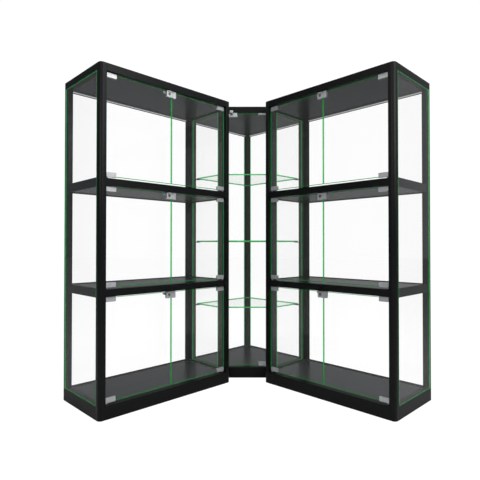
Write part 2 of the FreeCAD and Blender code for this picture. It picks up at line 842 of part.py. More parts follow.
def make_shelf_brackets(doc):
    """Flat brackets on the posts, five under each glass shelf."""
    groups = []
    size = ("bracket_long", "bracket_deep", "bracket_thick")
    y = "cab_depth - corner_post - bracket_deep"
    for side in ("left", "right"):
        parts = []
        for level in GLASS_SHELVES:
            z = level + " - bracket_thick"
            tip_x = wing_x(side, "(corner_post - bracket_long / 3)", "bracket_long")
            parts.append(block(doc, size, (tip_x, y, z)))
            if side == "left":
                apex_x = wing_x(side, "(corner_wall - corner_post - bracket_long * 2 / 3)", "bracket_long")
                parts.append(block(doc, size, (apex_x, y, z)))
        groups.append(group(doc, "corner_%s_brackets" % side, parts, side))
    front = []
    for level in GLASS_SHELVES:
        z = level + " - bracket_thick"
        front.append(block(doc, size, ("cut - front_x", "cut", z)))
        front.append(block(doc, size, ("front_x - cut - bracket_long", "cut", z)))
    groups.append(group(doc, "corner_front_brackets", front, "corner"))
    node(doc, "corner_shelf_brackets", groups)


def make_corner_panes(doc):
    groups = []
    glass = "pane_glass"
    wall_y = "cab_depth - pane_reveal - pane_glass"
    for side in ("left", "right"):
        panes = [
            wing_block(doc, side, "solid", "pane_reveal", glass, "cab_depth - corner_short",
                       "corner_short - corner_post", "plinth_height", "pane_height"),
            wing_block(doc, side, "solid", "corner_post", "(corner_wall - 2 * corner_post)", wall_y,
                       glass, "plinth_height", "pane_height"),
        ]
        groups.append(group(doc, "corner_%s_panes" % side, panes, side))
    node(doc, "corner_fixed_panes", groups)


# --- feet and distance pieces ---------------------------------------------------------------


def foot(doc, x, y):
    """Levelling foot: pad on the floor, threaded stem, and plate under the base board."""
    pad = rod(doc, "foot_radius", "foot_pad", (x, y, "0"))
    stem = rod(doc, "foot_stem_radius", "foot_height", (x, y, "0"))
    plate = rod(doc, "foot_plate_radius", "foot_plate", (x, y, "foot_height - foot_plate"))
    return joined(doc, pad, stem, plate)


def make_feet(doc):
    groups = []
    for side in ("left", "right"):
        feet = []
        for x in ("foot_inset", "cab_width - foot_inset"):
            for y in ("foot_inset", "cab_depth - foot_inset"):
                feet.append(foot(doc, x, y))
        groups.append(group(doc, side + "_feet", feet, side))
    back_y = "apex_y - front_y"
    spots = [
        ("0 - corner_opening", "foot_inset"),
        ("corner_opening", "foot_inset"),
        ("corner_foot_reach - tip_x", back_y + " - tip_x"),
        ("tip_x - corner_foot_reach", back_y + " - tip_x"),
        ("0", back_y + " - corner_foot_reach"),
    ]
    groups.append(group(doc, "corner_feet", [foot(doc, x, y) for x, y in spots], "corner"))
    node(doc, "levelling_feet", groups)


def make_spacers(doc):
    """Distance pieces between each straight cabinet and the corner cabinet, low and high."""
    groups = []
    y = "cab_depth - spacer_inset"
    for side in ("left", "right"):
        x = wing_x(side, "(0 - module_gap)", "module_gap")
        low = rod(doc, "spacer_radius", "module_gap", (x, y, "plinth_height / 2"), ALONG_X)
        high = rod(doc, "spacer_radius", "module_gap", (x, y, "head_z + rail_height / 2"), ALONG_X)
        groups.append(group(doc, side + "_spacers", [low, high], side))
    node(doc, "joining_spacers", groups)


# --- whole set ------------------------------------------------------------------------------


def make_straight_cabinet(doc, side):
    caps = make_front_posts(doc, side)
    make_rear_posts(doc, side)
    make_end_rails(doc, side)
    make_shelf_rails(doc, side)
    make_boards(doc, side)
    make_panes(doc, side)
    return caps


def make_corner_cabinet(doc):
    make_corner_posts(doc)
    make_corner_rails(doc)
    make_corner_boards(doc)
    make_corner_panes(doc)
    make_glass_shelves(doc)
    make_shelf_brackets(doc)


def make_leaves(doc):
    leaves = straight_leaves("left") + straight_leaves("right") + [corner_leaf()]
    for item in leaves:
        make_glass(doc, item)
        make_fittings(doc, item)
        if item["plug_x"]:
            make_cam(doc, item)
    make_bushes(doc, leaves)


def check_objects(doc):
    for item in doc.Objects:
        if "Invalid" in item.State or "Error" in item.State:
            raise RuntimeError("%s failed: %s" % (item.Name, item.State))
    for held in NODES:
        if held.Shape.isNull() or not held.Shape.isValid() or not held.Shape.Solids:
            raise RuntimeError(held.Label + " has no sound shape")


def main():
    doc = FreeCAD.newDocument("corner_showcase")
    make_sheet(doc)
    caps = [make_straight_cabinet(doc, side) for side in ("left", "right")]
    node(doc, "post_caps", caps)
    make_corner_cabinet(doc)
    make_leaves(doc)
    make_feet(doc)
    make_spacers(doc)
    doc.recompute()
    check_objects(doc)
    os.makedirs("parts", exist_ok=True)
    for held in NODES:
        held.Shape.exportStep("parts/%s.step" % held.Label)
    print("%d nodes written" % len(NODES))


main()
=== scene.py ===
import json
import math

import bmesh
import bpy
from mathutils import Matrix, Vector

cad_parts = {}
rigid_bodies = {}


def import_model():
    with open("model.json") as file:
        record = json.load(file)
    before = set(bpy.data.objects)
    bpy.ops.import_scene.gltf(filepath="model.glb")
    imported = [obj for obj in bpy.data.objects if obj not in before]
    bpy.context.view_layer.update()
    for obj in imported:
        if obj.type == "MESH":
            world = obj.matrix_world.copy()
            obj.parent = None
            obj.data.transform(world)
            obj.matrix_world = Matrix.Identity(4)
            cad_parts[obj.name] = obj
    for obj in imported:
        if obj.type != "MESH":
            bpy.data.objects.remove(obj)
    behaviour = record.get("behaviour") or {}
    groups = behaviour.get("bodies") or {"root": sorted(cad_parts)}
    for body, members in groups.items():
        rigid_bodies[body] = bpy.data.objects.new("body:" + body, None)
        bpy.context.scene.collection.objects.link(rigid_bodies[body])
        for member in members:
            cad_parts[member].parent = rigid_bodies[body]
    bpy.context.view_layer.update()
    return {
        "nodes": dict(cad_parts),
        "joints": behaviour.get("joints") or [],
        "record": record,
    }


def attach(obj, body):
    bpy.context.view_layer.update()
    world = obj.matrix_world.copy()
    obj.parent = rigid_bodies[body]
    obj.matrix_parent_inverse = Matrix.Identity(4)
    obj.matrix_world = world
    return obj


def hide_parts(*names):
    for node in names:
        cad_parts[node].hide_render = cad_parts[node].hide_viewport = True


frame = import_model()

# Looks of the corner showcase set: black powder-coated frames, clear tempered glass with green
# edges, satin die-cast fittings. Pieces are built in millimetres in their cabinet's own turned
# axes, and stand where the frame's nodes and joints stand.

MM = 0.001
NODES = frame["nodes"]
JOINTS = {joint["name"]: joint for joint in frame["joints"]}
SLOTS = {part["node"]: part["material_slot"] for part in frame["record"]["subparts"]}
BODIES = frame["record"]["behaviour"]["bodies"]
FIXED = "cabinet_frame"
LEAVES = [name for name in BODIES if name + "_hinge" in JOINTS]
LOCK_OF = {
    joint["parent"]: joint["child"] for joint in frame["joints"] if joint["child"].endswith("lock_cam")}

# Turn of each cabinet about +Z in degrees.
TURNS = {"left": 45, "right": -45, "corner": 0}
TIERS = ("lower", "middle", "upper")

# Sizes in millimetres that only the looks use.
ARRIS = 0.6  # ground-off corner of a glass edge
FRAME_BREAK = 0.8  # softened corner of an extrusion
BOARD_BREAK = 0.4  # softened corner of a board or a moulding
FINE_SLOTS = ("black_board", "bush_plastic", "cap_plastic")
CLIP_LENGTH, CLIP_WEB, CLIP_ROUND = 60, 2.5, 3
SCREW_HEAD, SCREW_SOCKET, SCREW_PROUD = 3, 1.6, 1
PLUG_RADIUS, PIN_RADIUS = 9, 3
COLLAR = 7.1  # height of the collar on the foot pin
CASE_RISE, CASE_PROUD, CASE_ROUND = 3.5, 7, 3
KEEPER_SCREW, KEEPER_SIDE = 9.5, 4.5  # below the top of the keeper, in from its end
HOOD_LENGTH, HOOD_HEIGHT, HOOD_ROUND = 26, 9, 3
CAM_LIFT = 17  # degrees above level, on the straight cabinets' locks
CAM_WIDTH, CAM_REACH, CAM_TIP = 14, 38, 3
CAM_NUT, CAM_NUT_HEIGHT = 5.5, 2.5
KEYWAY_WIDTH, KEYWAY_HEIGHT, KEYWAY_DEPTH = 2, 9, 3
SHELF_ARRIS, SHELF_BAND = 0.8, 3
LEAF_FOOT_GAP, LEAF_HEAD_GAP = 11, 5
POST_FRONT = 26  # front face of a rear post ahead of the back pane
FOOT_PAD, FOOT_PLATE, STEM_RADIUS, TOP_PLATE_RADIUS = 9, 4, 5, 20
BEAD, BEAD_DEPTH, BEAD_ROUND = 5, 3, 0.9
STRIP = 8  # pale strip between the roof and its bead, a painted glint with painted glow
THREAD, THREAD_DEPTH = 2, 0.6  # pitch and depth of the foot's thread
SOLE, NUT_RADIUS, NUT_HEIGHT = 3, 8.5, 5  # rubber sole and lock nuts of a foot

# Camera: metres from the origin, upward tilt in radians, lens in millimetres.
CAMERA_AWAY, CAMERA_HEIGHT, CAMERA_TILT = 3.0975, 0.976, 0.012
LENS, LENS_SHIFT = 31.92, -0.0153
FLOOR_DROP = 0.0005  # metres that the floor lies under the feet, so that their faces don't fight


# --- node and colour helpers ----------------------------------------------------------------


def linear(code):
    """An sRGB hex colour as linear red, green, blue and full alpha."""
    parts = [int(code[place:place + 2], 16) / 255 for place in (1, 3, 5)]
    curve = [part / 12.92 if part <= 0.04045 else ((part + 0.055) / 1.055) ** 2.4 for part in parts]
    return (*curve, 1.0)


def add(tree, kind, settings=None, links=None):
    """Adds a node; each setting is an attribute or an input, each link feeds an input."""
    made = tree.nodes.new("ShaderNode" + kind)
    for name, setting in (settings or {}).items():
        if isinstance(name, str) and hasattr(made, name):
            setattr(made, name, setting)
        else:
            made.inputs[name].default_value = setting
    for name, source in (links or {}).items():
        tree.links.new(source, made.inputs[name])
    return made


def new_material(name):
    """An empty material and its node tree."""
    made = bpy.data.materials.new(name)
    made.use_nodes = True
    made.node_tree.nodes.clear()
    return made, made.node_tree


def show(tree, shader):
    """Feeds a shader to the material's surface."""
    add(tree, "OutputMaterial", links={"Surface": shader.outputs[0]})


def grain(tree, place, size_mm, detail=2.0):
    """Noise whose blotches are about size_mm across."""
    return add(tree, "TexNoise", {"Scale": 1 / (size_mm * MM), "Detail": detail}, {"Vector": place})


def ramp(tree, fac, low, high, low_colour, high_colour):
    """Colour that runs between two colours as fac goes from low to high."""
    made = add(tree, "ValToRGB", links={"Fac": fac})
    stops = made.color_ramp.elements
    stops[0].position, stops[1].position = low, high
    stops[0].color, stops[1].color = linear(low_colour), linear(high_colour)
    return made


# --- materials ------------------------------------------------------------------------------


def powder_coated_aluminium():
    """Satin black polyester powder on extruded aluminium: a fine orange peel breaks up its gloss."""
    made, tree = new_material("powder_coated_aluminium")
    place = add(tree, "TexCoord").outputs["Object"]
    peel = grain(tree, place, 1.8)
    drift = grain(tree, place, 120, 3)
    tone = ramp(tree, drift.outputs["Fac"], 0.3, 0.7, "#0a0b0c", "#0d0e0f")
    rough = add(tree, "MapRange", {"To Min": 0.34, "To Max": 0.46}, {"Value": peel.outputs["Fac"]})
    bump = add(tree, "Bump", {"Strength": 0.12, "Distance": 0.1 * MM}, {"Height": peel.outputs["Fac"]})
    paint = add(tree, "BsdfPrincipled", {"Specular IOR Level": 0.13}, {
        "Base Color": tone.outputs["Color"], "Roughness": rough.outputs[0], "Normal": bump.outputs[0]})
    show(tree, paint)
    return made


def melamine_faced_board():
    """Black melamine on particle board: a pressed pearl grain, greyer where light skims over it."""
    made, tree = new_material("melamine_faced_board")
    place = add(tree, "TexCoord").outputs["Object"]
    pearl = grain(tree, place, 0.9)
    cloud = grain(tree, place, 160, 3)
    tone = ramp(tree, cloud.outputs["Fac"], 0.3, 0.7, "#17181b", "#1e1f22")
    bump = add(tree, "Bump", {"Strength": 0.08, "Distance": 0.05 * MM}, {"Height": pearl.outputs["Fac"]})
    rough = add(tree, "MapRange", {"To Min": 0.22, "To Max": 0.3}, {"Value": pearl.outputs["Fac"]})
    face = add(tree, "BsdfPrincipled", {"Specular IOR Level": 0.2}, {
        "Base Color": tone.outputs["Color"], "Roughness": rough.outputs[0], "Normal": bump.outputs[0]})
    show(tree, face)
    return made


def glass(name, tint, mirror, painted_veil):
    """Sheer float glass: what is behind shows unbent through its tint, under a clear reflection.

    The last argument sets painted light: an even glow on the glass, so that dark boards look greyer behind
    it.
    """
    made, tree = new_material(name)
    place = add(tree, "TexCoord").outputs["Object"]
    wave = grain(tree, place, 260, 1)
    bump = add(tree, "Bump", {"Strength": 0.05, "Distance": 1 * MM}, {"Height": wave.outputs["Fac"]})
    through = add(tree, "BsdfTransparent", {"Color": linear(tint)})
    shine = add(tree, "BsdfGlossy", {"Roughness": 0.0}, {"Normal": bump.outputs[0]})
    facing = add(tree, "Fresnel", {"IOR": 1.5}, {"Normal": bump.outputs[0]})
    behind = add(tree, "NewGeometry").outputs["Backfacing"]
    outer = add(tree, "Math", {"operation": "SUBTRACT", 0: 1.0}, {1: behind})
    once = add(tree, "Math", {"operation": "MULTIPLY"}, {0: facing.outputs[0], 1: outer.outputs[0]})
    share = add(tree, "Math", {"operation": "MULTIPLY", 1: mirror}, {0: once.outputs[0]})
    mixed = add(tree, "MixShader", links={0: share.outputs[0], 1: through.outputs[0], 2: shine.outputs[0]})
    # Painted light: an even glow on the glass that greys the dark boards seen behind it.
    painted_veil_glow = add(tree, "Emission", {"Color": linear("#f4f8f6"), "Strength": painted_veil})
    both = add(tree, "AddShader", links={0: mixed.outputs[0], 1: painted_veil_glow.outputs[0]})
    show(tree, both)
    return made


def float_glass_edge(name, through_code, dark, light, share, glow):
    """Ground edge of float glass: iron in the glass makes the light that runs along it green.

    Share is how much of the edge shows its own green, and glow is painted light: an emission that makes
    that green shine though no lamp lights it. The same material paints the bands of green edge light
    beside the edges.
    """
    made, tree = new_material(name)
    place = add(tree, "TexCoord").outputs["Object"]
    ground = grain(tree, place, 0.8)
    depth = grain(tree, place, 35, 3)
    rough = add(tree, "MapRange", {"To Min": 0.18, "To Max": 0.34}, {"Value": ground.outputs["Fac"]})
    tone = ramp(tree, depth.outputs["Fac"], 0.3, 0.75, dark, light)
    through = add(tree, "BsdfTransparent", {"Color": linear(through_code)})
    # The emission is painted light: the green edge glows as if lit along the glass.
    body = add(tree, "BsdfPrincipled", {"IOR": 1.52, "Emission Strength": glow}, {
        "Base Color": tone.outputs["Color"], "Roughness": rough.outputs[0],
        "Emission Color": tone.outputs["Color"]})
    mixed = add(tree, "MixShader", {0: share}, {1: through.outputs[0], 2: body.outputs[0]})
    show(tree, mixed)
    return made


def satin_zinc_casting():
    """Die-cast zinc with a satin chrome finish: bright, softly blurred, with a faint cast grain."""
    made, tree = new_material("satin_chromed_zinc")
    place = add(tree, "TexCoord").outputs["Object"]
    cast = grain(tree, place, 1.2)
    cloud = grain(tree, place, 14, 3)
    tone = ramp(tree, cloud.outputs["Fac"], 0.3, 0.7, "#b2b4b6", "#c0c2c4")
    rough = add(tree, "MapRange", {"To Min": 0.42, "To Max": 0.54}, {"Value": cast.outputs["Fac"]})
    bump = add(tree, "Bump", {"Strength": 0.1, "Distance": 0.05 * MM}, {"Height": cast.outputs["Fac"]})
    metal = add(tree, "BsdfPrincipled", {"Metallic": 0.75}, {
        "Base Color": tone.outputs["Color"], "Roughness": rough.outputs[0], "Normal": bump.outputs[0]})
    show(tree, metal)
    return made


def plain_metal(name, dark, light, rough_low, rough_high, line_mm):
    """Turned or rolled metal with fine tool lines."""
    made, tree = new_material(name)
    place = add(tree, "TexCoord").outputs["Object"]
    lines = grain(tree, place, line_mm)
    tone = ramp(tree, lines.outputs["Fac"], 0.35, 0.65, dark, light)
    span = {"To Min": rough_low, "To Max": rough_high}
    rough = add(tree, "MapRange", span, {"Value": lines.outputs["Fac"]})
    metal = add(tree, "BsdfPrincipled", {"Metallic": 1.0}, {
        "Base Color": tone.outputs["Color"], "Roughness": rough.outputs[0]})
    show(tree, metal)
    return made


def moulded_plastic(name, dark, light, rough, grain_mm, glow=0.0):
    """Moulded plastic or rubber with a fine spark-eroded grain; glow is painted light, an emission that
    makes the piece shine though it is no lamp.
    """
    made, tree = new_material(name)
    place = add(tree, "TexCoord").outputs["Object"]
    speck = grain(tree, place, grain_mm)
    tone = ramp(tree, speck.outputs["Fac"], 0.3, 0.7, dark, light)
    bump = add(tree, "Bump", {"Strength": 0.2, "Distance": 0.05 * MM}, {"Height": speck.outputs["Fac"]})
    skin = add(tree, "BsdfPrincipled", {
        "Roughness": rough, "Specular IOR Level": 0.35, "Emission Strength": glow}, {
        "Base Color": tone.outputs["Color"], "Normal": bump.outputs[0],
        "Emission Color": tone.outputs["Color"]})
    show(tree, skin)
    return made


FRAME_PAINT = powder_coated_aluminium()
BOARD = melamine_faced_board()
CLEAR = glass("tempered_float_glass", "#fefefe", 0.65, 0.008)
SHELF_CLEAR = glass("clear_shelf_glass", "#fefffe", 0.35, 0.002)
EDGE = float_glass_edge("polished_glass_edge", "#5fd488", "#22a64b", "#3cc265", 0.6, 0.4)
# The bands beside the glass edges are painted green edge light, with painted glow.
PAINTED_EDGE_LIGHT_BAND = float_glass_edge("glass_beside_edge", "#86dca2", "#2a8a4a", "#3ba25c", 0.4, 0.12)
PAINTED_REAR_EDGE_LIGHT_BAND = float_glass_edge("glass_beside_rear_edge", "#6fd694", "#1f9447", "#2fb55c", 0.7, 0.5)
SHELF_EDGE = float_glass_edge("polished_shelf_edge", "#4fd07e", "#22a54c", "#3fc468", 0.7, 0.35)
SATIN = satin_zinc_casting()
PLUG = plain_metal("nickel_plated_brass", "#6f6862", "#8d867e", 0.28, 0.4, 0.7)
CAM = plain_metal("zinc_plated_steel", "#8a8c8e", "#a9abad", 0.3, 0.45, 1.5)
SCREW = plain_metal("blackened_steel", "#26262a", "#38383c", 0.35, 0.5, 0.8)
NYLON = moulded_plastic("moulded_nylon", "#161617", "#1d1d1f", 0.5, 0.6)
CAP = moulded_plastic("moulded_abs", "#151517", "#1b1b1d", 0.42, 0.8)
RUBBER = moulded_plastic("extruded_rubber", "#101011", "#161617", 0.7, 0.5)
STEEL = plain_metal("galvanised_steel", "#77797b", "#9a9c9e", 0.35, 0.5, 2.5)
# A pale strip with painted glow: a painted glint under the roofs.
PAINTED_GLINT_STRIP = moulded_plastic("pale_painted_glint_strip", "#c2c4c5", "#d2d4d5", 0.4, 0.6, 0.5)

SLOT_LOOKS = {
    "black_frame": FRAME_PAINT, "clear_glass": CLEAR, "silver_fitting": SATIN, "lock_steel": CAM,
    "black_board": BOARD, "bush_plastic": NYLON, "cap_plastic": CAP, "foot_steel": STEEL,
    "spacer_plastic": NYLON, "black_bracket": FRAME_PAINT,
}


# --- mesh helpers ---------------------------------------------------------------------------


def turn_of(name):
    """Turn in degrees of the cabinet that a node or body belongs to."""
    return TURNS[name.split("_")[0]]


def turned_corners(name, turn):
    """A node's corners in millimetres along axes turned about +Z."""
    back = Matrix.Rotation(math.radians(-turn), 3, "Z")
    return [back @ vertex.co / MM for vertex in NODES[name].data.vertices]


def box_of(corners):
    """Lowest and highest corner of a set of points."""
    low = Vector([min(corner[axis] for corner in corners) for axis in range(3)])
    high = Vector([max(corner[axis] for corner in corners) for axis in range(3)])
    return low, high


def turned_box(name):
    """A node's lowest and highest corners in millimetres, along its cabinet's own axes."""
    return box_of(turned_corners(name, turn_of(name)))


def split_solids(name, turn):
    """The corners of each of a node's separate solids, lowest x first."""
    mesh = bmesh.new()
    mesh.from_mesh(NODES[name].data)
    bmesh.ops.remove_doubles(mesh, verts=mesh.verts, dist=1e-6)
    back = Matrix.Rotation(math.radians(-turn), 3, "Z")
    seen, solids = set(), []
    for start in mesh.verts:
        if start in seen:
            continue
        seen.add(start)
        queue, corners = [start], []
        while queue:
            vertex = queue.pop()
            corners.append(back @ vertex.co / MM)
            for edge in vertex.link_edges:
                other = edge.other_vert(vertex)
                if other not in seen:
                    seen.add(other)
                    queue.append(other)
        solids.append(corners)
    mesh.free()
    return sorted(solids, key=lambda corners: tuple(box_of(corners)[0]))


def turned_point(joint, name):
    """Where a joint stands, in millimetres along its cabinet's own axes."""
    back = Matrix.Rotation(math.radians(-turn_of(name)), 3, "Z")
    return back @ Vector(JOINTS[joint]["pos_m"]) / MM


def block(mesh, low, high, radius=0.5, segments=2, slot=0):
    """Adds a block with softened edges to a mesh in progress."""
    size = Vector(high) - Vector(low)
    middle = (Vector(high) + Vector(low)) / 2
    shift = Matrix.Translation(middle) @ Matrix.Diagonal((*size, 1))
    made = bmesh.ops.create_cube(mesh, size=1, matrix=shift)
    edges = list({edge for vertex in made["verts"] for edge in vertex.link_edges})
    radius = min(radius, min(size) * 0.45)
    done = bmesh.ops.bevel(mesh, geom=edges, offset=radius, segments=segments, profile=0.5, affect="EDGES")
    for face in done["faces"]:
        face.smooth = True
    for vertex in done["verts"]:
        for face in vertex.link_faces:
            face.material_index = slot


def disc(mesh, centre, radius, length, axis, bevel=0.4, sides=32, slot=0):
    """Adds a turned disc or rod that starts at centre and runs along axis, "y" or "z"."""
    turn = Matrix.Rotation(-math.pi / 2, 4, "X") if axis == "y" else Matrix.Identity(4)
    shift = Matrix.Translation(Vector(centre)) @ turn @ Matrix.Translation((0, 0, length / 2))
    made = bmesh.ops.create_cone(mesh, cap_ends=True, segments=sides, radius1=radius, radius2=radius,
                                 depth=length, matrix=shift)
    rims = [edge for edge in {edge for vertex in made["verts"] for edge in vertex.link_edges}
            if any(len(face.verts) > 4 for face in edge.link_faces)]
    bevel = min(bevel, length * 0.4, radius * 0.4)
    faces = set()
    done = bmesh.ops.bevel(mesh, geom=rims, offset=bevel, segments=2, profile=0.5, affect="EDGES")
    for vertex in done["verts"]:
        faces.update(vertex.link_faces)
    for face in faces:
        face.material_index = slot
        face.smooth = len(face.verts) == 4


def finish_piece(name, mesh, looks, turn, body):
    """Turns a mesh in millimetres into a piece that rides on a body."""
    bmesh.ops.scale(mesh, vec=(MM, MM, MM), verts=mesh.verts)
    data = bpy.data.meshes.new(name)
    mesh.to_mesh(data)
    mesh.free()
    return stand_piece(name, data, looks, turn, body)


def stand_piece(name, data, looks, turn, body):
    """Puts a finished mesh into the scene, turned with its cabinet and riding on its body."""
    piece = bpy.data.objects.new(name, data)
    for look in looks:
        data.materials.append(look)
    bpy.context.collection.objects.link(piece)
    piece.rotation_euler.z = math.radians(turn)
    bpy.context.view_layer.update()
    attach(piece, body)
    return piece


def plate_from_outline(name, outline, holes, thickness, arris):
    """Flat plate of any outline, in millimetres in its own plane, with ground arrises."""
    curve = bpy.data.curves.new(name, "CURVE")
    curve.dimensions = "2D"
    curve.fill_mode = "BOTH"
    curve.extrude = thickness / 2 - arris
    curve.bevel_depth = arris
    curve.bevel_resolution = 1
    curve.offset = -arris
    for points in [outline, *holes]:
        spline = curve.splines.new("POLY")
        spline.points.add(len(points) - 1)
        for point, (across, up) in zip(spline.points, points):
            point.co = (across, up, 0, 1)
        spline.use_cyclic_u = True
    holder = bpy.data.objects.new(name, curve)
    bpy.context.collection.objects.link(holder)
    bpy.context.view_layer.update()
    mesh = bmesh.new()
    data = bpy.data.meshes.new_from_object(holder)
    mesh.from_mesh(data)
    bpy.data.objects.remove(holder)
    bpy.data.curves.remove(curve)
    bpy.data.meshes.remove(data)
    bmesh.ops.remove_doubles(mesh, verts=mesh.verts, dist=0.01)
    bmesh.ops.recalc_face_normals(mesh, faces=mesh.faces)
    return mesh


def circle(across, up, radius, count=40):
    """Corners of a regular outline round a point."""
    steps = [2 * math.pi * step / count for step in range(count)]
    return [(across + radius * math.cos(step), up + radius * math.sin(step)) for step in steps]


def arc(start, end, count=12):
    """Angles in radians from start to end degrees."""
    return [math.radians(start + (end - start) * step / count) for step in range(count + 1)]


def green_bands(mesh, low, high, left, right, bottom, top):
    """Splits a plate's faces along its edges; slot 0 clear, 1 the ground edge, 2 the band beside it,
    painted with the green light that the edge carries.
    """
    west, east = low[0] + left, high[0] - right
    south, north = low[1] + bottom, high[1] - top
    for axis, level in ((0, west), (0, east), (1, south), (1, north)):
        spot = Vector((level, 0, 0)) if axis == 0 else Vector((0, level, 0))
        way = Vector((1, 0, 0)) if axis == 0 else Vector((0, 1, 0))
        geometry = list(mesh.verts) + list(mesh.edges) + list(mesh.faces)
        bmesh.ops.bisect_plane(mesh, geom=geometry, plane_co=spot, plane_no=way)
    for face in mesh.faces:
        middle = face.calc_center_median()
        inside = west < middle.x < east and south < middle.y < north
        flat = abs(face.normal.z) > 0.9
        face.material_index = 0 if flat and inside else 2 if flat else 1


# --- glass ----------------------------------------------------------------------------------


def stand_up(mesh, across, middle):
    """Lifts a plate drawn flat so that it stands across x or y, centred on its thickness."""
    for vertex in mesh.verts:
        along, up, deep = vertex.co
        vertex.co = (along, middle - deep, up) if across == "x" else (middle + deep, along, up)


def upright_pane(name, low, high, across, bands, holes=()):
    """Pane that fills its node's box, standing across x or y."""
    first = 0 if across == "x" else 1
    thin = 1 - first
    left, right = low[first], high[first]
    corners = [(left, low[2]), (right, low[2]), (right, high[2]), (left, high[2])]
    mesh = plate_from_outline(name, corners, holes, high[thin] - low[thin], ARRIS)
    green_bands(mesh, corners[0], corners[2], **bands)
    stand_up(mesh, across, (low[thin] + high[thin]) / 2)
    return mesh


# Widths in millimetres of the painted band of green edge light along each edge of a pane.
LEAF_BANDS = dict(left=3, right=3, bottom=4, top=3)
END_BANDS = dict(left=4, right=12, bottom=2, top=2)
EVEN_BANDS = dict(left=2, right=2, bottom=2, top=2)
CORNER_BANDS = dict(left=7, right=7, bottom=2, top=2)


def make_leaf_glass(base, lock):
    """A hinged leaf; the leaf that carries a lock has a hole for its plug."""
    node = base + "_glass"
    low, high = turned_box(node)
    holes = []
    if lock and turn_of(base):
        plug = turned_point(lock + "_turn", base)
        holes = [circle(plug.x, plug.z, PLUG_RADIUS + 1)]
    mesh = upright_pane(base + "_pane", low, high, "x", LEAF_BANDS, holes)
    looks = [CLEAR, EDGE, PAINTED_EDGE_LIGHT_BAND]
    piece = finish_piece(base + "_pane", mesh, looks, turn_of(base), base)
    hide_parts(node)


def stand_pane(name, node, low, high, bands, turn, painted_band_look):
    """One fixed pane that stands for a node, or for one solid of it."""
    across = "x" if high.x - low.x > high.y - low.y else "y"
    mesh = upright_pane(name, low, high, across, bands)
    piece = finish_piece(name, mesh, [CLEAR, EDGE, painted_band_look], turn, FIXED)
    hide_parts(node)


def make_fixed_panes(side):
    """End panes and back pane of a straight cabinet."""
    turn = TURNS[side]
    node = side + "_end_panes"
    for number, corners in enumerate(split_solids(node, turn), start=1):
        name = "%s_end_pane_%d" % (side, number)
        stand_pane(name, node, *box_of(corners), END_BANDS, turn, PAINTED_REAR_EDGE_LIGHT_BAND)
    node = side + "_back_pane"
    stand_pane(side + "_back_glass", node, *turned_box(node), EVEN_BANDS, turn, PAINTED_EDGE_LIGHT_BAND)


def make_corner_panes():
    """Both wings of the corner cabinet line up with the left cabinet's axes."""
    node = "corner_fixed_panes"
    turn = TURNS["left"]
    for number, corners in enumerate(split_solids(node, turn), start=1):
        name = "corner_pane_%d" % number
        stand_pane(name, node, *box_of(corners), CORNER_BANDS, turn, PAINTED_REAR_EDGE_LIGHT_BAND)


def make_glass_shelves():
    """Five-sided shelves with ground edges all round."""
    node = "corner_glass_shelves"
    for number, corners in enumerate(split_solids(node, 0), start=1):
        low, high = box_of(corners)
        ring = {(round(corner.x, 1), round(corner.y, 1)) for corner in corners}
        middle = Vector(((low.x + high.x) / 2, (low.y + high.y) / 2))
        outline = sorted(ring, key=lambda spot: math.atan2(spot[1] - middle.y, spot[0] - middle.x))
        name = "corner_shelf_%d" % number
        mesh = plate_from_outline(name, outline, [], high.z - low.z, SHELF_ARRIS)
        flat = [face for face in mesh.faces if abs(face.normal.z) > 0.9]
        for face in mesh.faces:
            face.material_index = 0 if face in flat else 1
        # The inset band round each face is painted green edge light.
        band = bmesh.ops.inset_region(mesh, faces=flat, thickness=SHELF_BAND)
        for face in band["faces"]:
            face.material_index = 2
        bmesh.ops.translate(mesh, verts=mesh.verts, vec=(0, 0, (low.z + high.z) / 2))
        piece = finish_piece(name, mesh, [SHELF_CLEAR, SHELF_EDGE, PAINTED_EDGE_LIGHT_BAND], 0, FIXED)
        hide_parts(node)


def bead_frame(mesh, across, span, levels, deep, roof):
    """Glazing beads round one opening; under the roof a pale strip shows above the top bead, a painted
    glint that glows.
    """

    def run(along, up, slot=0):
        low, high = [(along[end], deep[end]) for end in (0, 1)]
        if across == "y":
            low, high = low[::-1], high[::-1]
        block(mesh, (*low, up[0]), (*high, up[1]), BEAD_ROUND, 2, slot)

    bottom, top = levels
    # Under the roof: the pale strip of painted glint.
    if roof:
        top -= STRIP
        run(span, (top, top + STRIP), 1)
    run((span[0], span[0] + BEAD), (bottom, top))
    run((span[1] - BEAD, span[1]), (bottom, top))
    run(span, (bottom, bottom + BEAD))
    run(span, (top - BEAD, top))


def inner_face(low, high, middle):
    """Depth range of a bead that lies on the side of a face that is nearer to middle."""
    return (high, high + BEAD_DEPTH) if high < middle else (low - BEAD_DEPTH, low)


def make_glazing_beads(side):
    """Rubber beads that hold the fixed panes of a straight cabinet, tier by tier."""
    mesh = bmesh.new()
    back_low, back_high = turned_box(side + "_back_pane")
    ends = [box_of(corners) for corners in split_solids(side + "_end_panes", TURNS[side])]
    middle = (back_low.x + back_high.x) / 2
    rear = back_low.y - POST_FRONT
    for tier in TIERS:
        leaf = next(name for name in LEAVES if name.startswith("%s_%s" % (side, tier)))
        levels = tier_span(leaf)
        roof = tier == TIERS[-1]
        behind = (back_low.y - BEAD_DEPTH, back_low.y)
        bead_frame(mesh, "x", (back_low.x, back_high.x), levels, behind, roof)
        for low, high in ends:
            bead_frame(mesh, "y", (low.y, rear), levels, inner_face(low.x, high.x, middle), False)
    finish_piece(side + "_glazing_beads", mesh, [RUBBER, PAINTED_GLINT_STRIP], TURNS[side], FIXED)


